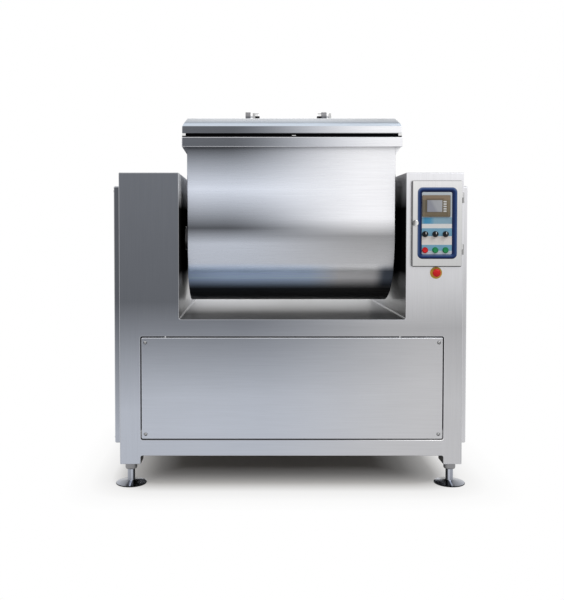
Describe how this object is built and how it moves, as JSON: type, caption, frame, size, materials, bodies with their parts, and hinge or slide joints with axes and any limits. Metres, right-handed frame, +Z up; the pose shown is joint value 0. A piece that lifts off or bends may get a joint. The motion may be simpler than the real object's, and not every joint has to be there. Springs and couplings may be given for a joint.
{
  "type": "vacuum dough mixer",
  "caption": "Free-standing stainless vacuum dough mixer: a tipping trough with a hinged lid and kneading shaft between two columns.",
  "frame": {"origin": "on the floor, under the middle of the whole machine's box", "axes": "+X to the right of someone facing the control panel, +Y to the rear, +Z up"},
  "size_m": [1.8, 1.2228, 1.944],
  "materials": {
    "brushed_steel": "long-grain brushed stainless sheet",
    "brushed_steel_bright": "fine brushed stainless",
    "brushed_steel_dark": "satin steel",
    "polished_steel": "polished",
    "cast_iron": "cast, machined faces",
    "blue_paint": "machine enamel",
    "black_rubber": "matte",
    "black_plastic": "matte",
    "yellow_plastic": "gloss",
    "red_plastic": "gloss",
    "green_plastic": "gloss",
    "navy_plastic": "satin film",
    "pale_blue_plastic": "satin film",
    "khaki_plastic": "moulded",
    "screen_glass": "gloss screen"
  },
  "bodies": {
    "root": {"frame_posts": "brushed_steel", "frame_rails": "brushed_steel", "machinery_deck": "brushed_steel_dark", "saddle_pan": "brushed_steel_bright", "column_front_plates": "brushed_steel", "column_rear_plates": "brushed_steel", "column_top_plates": "brushed_steel", "column_inner_plates": "brushed_steel", "front_panel": "brushed_steel", "rear_panel": "brushed_steel", "left_side_cover": "brushed_steel", "right_side_cover": "brushed_steel", "cover_screws": "polished_steel", "foot_collars": "brushed_steel_dark", "feet": "polished_steel", "trunnion_bearings": "cast_iron", "bearing_bolts": "brushed_steel_dark", "main_gearmotor": "blue_paint", "drive_belts": "black_rubber", "tilt_reducer": "blue_paint", "tilt_motor": "blue_paint", "vacuum_pump": "blue_paint", "vacuum_pipe": "brushed_steel_bright", "control_cabinet": "brushed_steel", "hinge_leaves": "polished_steel", "cable_gland": "black_plastic", "estop_collar": "yellow_plastic"},
    "trough": {"trough_shell": "brushed_steel", "trough_ends": "brushed_steel", "trough_rim": "brushed_steel_bright", "trunnions": "brushed_steel_dark", "shaft_seals": "black_rubber", "lid_hinge_brackets": "brushed_steel", "lid_locators": "brushed_steel_bright"},
    "lid": {"lid_shell": "brushed_steel_bright", "lid_seal": "black_rubber", "lid_lugs": "brushed_steel", "lid_pins": "polished_steel", "lid_arms": "brushed_steel_dark", "lid_hinge_shaft": "polished_steel"},
    "agitator": {"agitator_shaft": "brushed_steel_bright", "agitator_spiders": "brushed_steel_bright", "kneading_bars": "polished_steel", "driven_pulley": "cast_iron"},
    "motor_rotor": {"motor_shaft": "brushed_steel_bright", "motor_pulley": "cast_iron"},
    "door": {"control_door": "brushed_steel", "door_frame": "navy_plastic", "control_plate": "pale_blue_plastic", "hmi_bezel": "khaki_plastic", "hmi_screen": "screen_glass", "operator_collars": "black_plastic"},
    "left_selector": {"left_selector": "black_plastic"},
    "middle_selector": {"middle_selector": "black_plastic"},
    "right_selector": {"right_selector": "black_plastic"},
    "red_button": {"red_button": "red_plastic"},
    "middle_green_button": {"middle_green_button": "green_plastic"},
    "right_green_button": {"right_green_button": "green_plastic"},
    "lock": {"lock_knob": "polished_steel"},
    "estop": {"estop_head": "red_plastic"}
  },
  "joints": [
    {"name": "trough_tilt", "type": "hinge", "parent": "root", "child": "trough", "pos_m": [0.006, -0.1206, 1.245], "axis": [1, 0, 0], "range_deg": [0, 90]},
    {"name": "lid_open", "type": "hinge", "parent": "trough", "child": "lid", "pos_m": [0.006, 0.3194, 1.772], "axis": [-1, 0, 0], "range_deg": [0, 95]},
    {"name": "agitator_spin", "type": "hinge", "parent": "root", "child": "agitator", "pos_m": [0.006, -0.1206, 1.245], "axis": [1, 0, 0], "continuous": true},
    {"name": "motor_spin", "type": "hinge", "parent": "root", "child": "motor_rotor", "pos_m": [-0.72, -0.1206, 0.43], "axis": [1, 0, 0], "continuous": true},
    {"name": "door_open", "type": "hinge", "parent": "root", "child": "door", "pos_m": [0.855, -0.5786, 1.32], "axis": [0, 0, 1], "range_deg": [0, 110]},
    {"name": "lock_turn", "type": "hinge", "parent": "door", "child": "lock", "pos_m": [0.6165, -0.5871, 1.325], "axis": [0, -1, 0], "range_deg": [0, 90]},
    {"name": "estop_push", "type": "slide", "parent": "root", "child": "estop", "axis": [0, 1, 0], "range_m": [0, 0.005]},
    {"name": "left_selector_turn", "type": "hinge", "parent": "door", "child": "left_selector", "pos_m": [0.6645, -0.5891, 1.27], "axis": [0, -1, 0], "range_deg": [-45, 45]},
    {"name": "middle_selector_turn", "type": "hinge", "parent": "door", "child": "middle_selector", "pos_m": [0.7155, -0.5891, 1.27], "axis": [0, -1, 0], "range_deg": [-45, 45]},
    {"name": "right_selector_turn", "type": "hinge", "parent": "door", "child": "right_selector", "pos_m": [0.7665, -0.5891, 1.27], "axis": [0, -1, 0], "range_deg": [-45, 45]},
    {"name": "red_button_press", "type": "slide", "parent": "door", "child": "red_button", "axis": [0, 1, 0], "range_m": [0, 0.004], "stiffness_N_per_m": 400, "springref_m": -0.004},
    {"name": "middle_green_button_press", "type": "slide", "parent": "door", "child": "middle_green_button", "axis": [0, 1, 0], "range_m": [0, 0.004], "stiffness_N_per_m": 400, "springref_m": -0.004},
    {"name": "right_green_button_press", "type": "slide", "parent": "door", "child": "right_green_button", "axis": [0, 1, 0], "range_m": [0, 0.004], "stiffness_N_per_m": 400, "springref_m": -0.004}
  ],
  "couplings": [
    {"joint": "motor_spin", "follows": "agitator_spin", "ratio": 2.6129}
  ]
}
